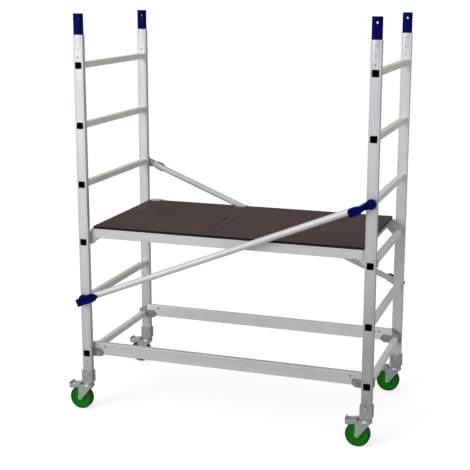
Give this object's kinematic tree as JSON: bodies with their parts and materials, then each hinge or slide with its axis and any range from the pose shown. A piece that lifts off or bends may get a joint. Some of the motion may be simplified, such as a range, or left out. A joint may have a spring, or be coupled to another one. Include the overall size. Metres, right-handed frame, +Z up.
{
  "type": "mobile tower scaffold",
  "caption": "Rolling aluminium tower scaffold: ladder frames on braked swivel casters, hatch deck, base rails and crossed diagonal braces.",
  "frame": {"origin": "centre of the footprint box, on the floor under the wheels", "axes": "+Z up, +X along the deck from the hatch side to the fixed side, +Y across the ladder frames towards the hatch hinges"},
  "size_m": [1.5213, 0.837, 1.927],
  "materials": {
    "aluminium_profile": "satin extruded",
    "aluminium_rung": "satin extruded",
    "aluminium_brace": "satin drawn tube",
    "cast_aluminium": "rough cast",
    "zinc_plated_steel": "zinc plated",
    "fastener_steel": "zinc plated",
    "blue_plastic": "smooth moulded",
    "black_plastic": "moulded",
    "deck_plywood": "film faced, brown",
    "green_core": "moulded",
    "tread": "smooth tread"
  },
  "bodies": {
    "ladder_frames": {"stile_front_left": "aluminium_profile", "stile_rear_left": "aluminium_profile", "stile_front_right": "aluminium_profile", "stile_rear_right": "aluminium_profile", "rungs_left": "aluminium_rung", "rungs_right": "aluminium_rung", "rung_end_plugs": "black_plastic", "spigots_left": "blue_plastic", "spigots_right": "blue_plastic", "spigot_rivets": "fastener_steel", "brace_studs": "fastener_steel", "caster_sockets": "zinc_plated_steel", "socket_bolts": "fastener_steel", "swivel_bearings": "zinc_plated_steel"},
    "deck": {"deck_beam_front": "aluminium_profile", "deck_beam_rear": "aluminium_profile", "deck_cross_members": "aluminium_profile", "deck_hooks": "cast_aluminium", "deck_panel": "deck_plywood", "deck_rivets": "fastener_steel", "hinge_fixed_leaves": "fastener_steel", "hinge_pins": "fastener_steel"},
    "hatch": {"hatch_panel": "deck_plywood", "hatch_hinge_leaves": "fastener_steel"},
    "base_rail_front": {"rail_front": "aluminium_profile", "rail_hooks_front": "cast_aluminium"},
    "base_rail_rear": {"rail_rear": "aluminium_profile", "rail_hooks_rear": "cast_aluminium"},
    "wing_screw_front_left": {"wing_screw_front_left": "fastener_steel"},
    "wing_screw_front_right": {"wing_screw_front_right": "fastener_steel"},
    "wing_screw_rear_left": {"wing_screw_rear_left": "fastener_steel"},
    "wing_screw_rear_right": {"wing_screw_rear_right": "fastener_steel"},
    "brace_front": {"brace_front_tube": "aluminium_brace", "brace_front_ends": "cast_aluminium"},
    "brace_rear": {"brace_rear_tube": "aluminium_brace", "brace_rear_ends": "cast_aluminium"},
    "clamp_lever_front_left": {"clamp_lever_front_left": "blue_plastic"},
    "clamp_lever_front_right": {"clamp_lever_front_right": "blue_plastic"},
    "clamp_lever_rear_left": {"clamp_lever_rear_left": "blue_plastic"},
    "clamp_lever_rear_right": {"clamp_lever_rear_right": "blue_plastic"},
    "fork_front_left": {"fork_front_left": "zinc_plated_steel", "axle_front_left": "fastener_steel"},
    "wheel_front_left": {"wheel_core_front_left": "green_core", "tyre_front_left": "tread"},
    "brake_pedal_front_left": {"brake_pedal_front_left": "zinc_plated_steel"},
    "fork_front_right": {"fork_front_right": "zinc_plated_steel", "axle_front_right": "fastener_steel"},
    "wheel_front_right": {"wheel_core_front_right": "green_core", "tyre_front_right": "tread"},
    "brake_pedal_front_right": {"brake_pedal_front_right": "zinc_plated_steel"},
    "fork_rear_left": {"fork_rear_left": "zinc_plated_steel", "axle_rear_left": "fastener_steel"},
    "wheel_rear_left": {"wheel_core_rear_left": "green_core", "tyre_rear_left": "tread"},
    "brake_pedal_rear_left": {"brake_pedal_rear_left": "zinc_plated_steel"},
    "fork_rear_right": {"fork_rear_right": "zinc_plated_steel", "axle_rear_right": "fastener_steel"},
    "wheel_rear_right": {"wheel_core_rear_right": "green_core", "tyre_rear_right": "tread"},
    "brake_pedal_rear_right": {"brake_pedal_rear_right": "zinc_plated_steel"}
  },
  "joints": [
    {"name": "deck_lift", "type": "slide", "parent": "ladder_frames", "child": "deck", "axis": [0, 0, 1], "range_m": [0, 0.1]},
    {"name": "hatch_hinge", "type": "hinge", "parent": "deck", "child": "hatch", "pos_m": [-0.3445, 0.3526, 0.9264], "axis": [-1, 0, 0], "range_deg": [0, 90]},
    {"name": "rail_front_lift", "type": "slide", "parent": "ladder_frames", "child": "base_rail_front", "axis": [0, 0, 1], "range_m": [0, 0.1]},
    {"name": "rail_rear_lift", "type": "slide", "parent": "ladder_frames", "child": "base_rail_rear", "axis": [0, 0, 1], "range_m": [0, 0.1]},
    {"name": "wing_screw_front_left_turn", "type": "hinge", "parent": "base_rail_front", "child": "wing_screw_front_left", "pos_m": [-0.6055, -0.3325, 0.294], "axis": [0, -1, 0], "continuous": true},
    {"name": "wing_screw_front_right_turn", "type": "hinge", "parent": "base_rail_front", "child": "wing_screw_front_right", "pos_m": [0.6705, -0.3325, 0.294], "axis": [0, -1, 0], "continuous": true},
    {"name": "wing_screw_rear_left_turn", "type": "hinge", "parent": "base_rail_rear", "child": "wing_screw_rear_left", "pos_m": [-0.6055, 0.3325, 0.294], "axis": [0, 1, 0], "continuous": true},
    {"name": "wing_screw_rear_right_turn", "type": "hinge", "parent": "base_rail_rear", "child": "wing_screw_rear_right", "pos_m": [0.6705, 0.3325, 0.294], "axis": [0, 1, 0], "continuous": true},
    {"name": "brace_front_swing", "type": "hinge", "parent": "ladder_frames", "child": "brace_front", "pos_m": [-0.6635, -0.3945, 0.57], "axis": [0, -1, 0], "range_deg": [0, 68]},
    {"name": "brace_rear_swing", "type": "hinge", "parent": "ladder_frames", "child": "brace_rear", "pos_m": [0.7285, 0.3945, 0.57], "axis": [0, 1, 0], "range_deg": [0, 68]},
    {"name": "clamp_lever_front_left_turn", "type": "hinge", "parent": "ladder_frames", "child": "clamp_lever_front_left", "pos_m": [-0.6635, -0.3945, 0.57], "axis": [0, -1, 0], "range_deg": [0, 90]},
    {"name": "clamp_lever_front_right_turn", "type": "hinge", "parent": "ladder_frames", "child": "clamp_lever_front_right", "pos_m": [0.7285, -0.3945, 1.13], "axis": [0, 1, 0], "range_deg": [0, 90]},
    {"name": "clamp_lever_rear_left_turn", "type": "hinge", "parent": "ladder_frames", "child": "clamp_lever_rear_left", "pos_m": [-0.6635, 0.3945, 1.13], "axis": [0, -1, 0], "range_deg": [0, 90]},
    {"name": "clamp_lever_rear_right_turn", "type": "hinge", "parent": "ladder_frames", "child": "clamp_lever_rear_right", "pos_m": [0.7285, 0.3945, 0.57], "axis": [0, 1, 0], "range_deg": [0, 90]},
    {"name": "caster_front_left_swivel", "type": "hinge", "parent": "ladder_frames", "child": "fork_front_left", "pos_m": [-0.6635, -0.3625, 0.126], "axis": [0, 0, 1], "continuous": true},
    {"name": "wheel_front_left_roll", "type": "hinge", "parent": "fork_front_left", "child": "wheel_front_left", "pos_m": [-0.7015, -0.3625, 0.0575], "axis": [0, 1, 0], "continuous": true},
    {"name": "brake_pedal_front_left_press", "type": "hinge", "parent": "fork_front_left", "child": "brake_pedal_front_left", "pos_m": [-0.7075, -0.3625, 0.126], "axis": [0, 1, 0], "range_deg": [0, 14]},
    {"name": "caster_front_right_swivel", "type": "hinge", "parent": "ladder_frames", "child": "fork_front_right", "pos_m": [0.7285, -0.3625, 0.126], "axis": [0, 0, 1], "continuous": true},
    {"name": "wheel_front_right_roll", "type": "hinge", "parent": "fork_front_right", "child": "wheel_front_right", "pos_m": [0.6905, -0.3625, 0.0575], "axis": [0, 1, 0], "continuous": true},
    {"name": "brake_pedal_front_right_press", "type": "hinge", "parent": "fork_front_right", "child": "brake_pedal_front_right", "pos_m": [0.6845, -0.3625, 0.126], "axis": [0, 1, 0], "range_deg": [0, 14]},
    {"name": "caster_rear_left_swivel", "type": "hinge", "parent": "ladder_frames", "child": "fork_rear_left", "pos_m": [-0.6635, 0.3625, 0.126], "axis": [0, 0, 1], "continuous": true},
    {"name": "wheel_rear_left_roll", "type": "hinge", "parent": "fork_rear_left", "child": "wheel_rear_left", "pos_m": [-0.7015, 0.3625, 0.0575], "axis": [0, 1, 0], "continuous": true},
    {"name": "brake_pedal_rear_left_press", "type": "hinge", "parent": "fork_rear_left", "child": "brake_pedal_rear_left", "pos_m": [-0.7075, 0.3625, 0.126], "axis": [0, 1, 0], "range_deg": [0, 14]},
    {"name": "caster_rear_right_swivel", "type": "hinge", "parent": "ladder_frames", "child": "fork_rear_right", "pos_m": [0.7285, 0.3625, 0.126], "axis": [0, 0, 1], "continuous": true},
    {"name": "wheel_rear_right_roll", "type": "hinge", "parent": "fork_rear_right", "child": "wheel_rear_right", "pos_m": [0.6905, 0.3625, 0.0575], "axis": [0, 1, 0], "continuous": true},
    {"name": "brake_pedal_rear_right_press", "type": "hinge", "parent": "fork_rear_right", "child": "brake_pedal_rear_right", "pos_m": [0.6845, 0.3625, 0.126], "axis": [0, 1, 0], "range_deg": [0, 14]}
  ]
}
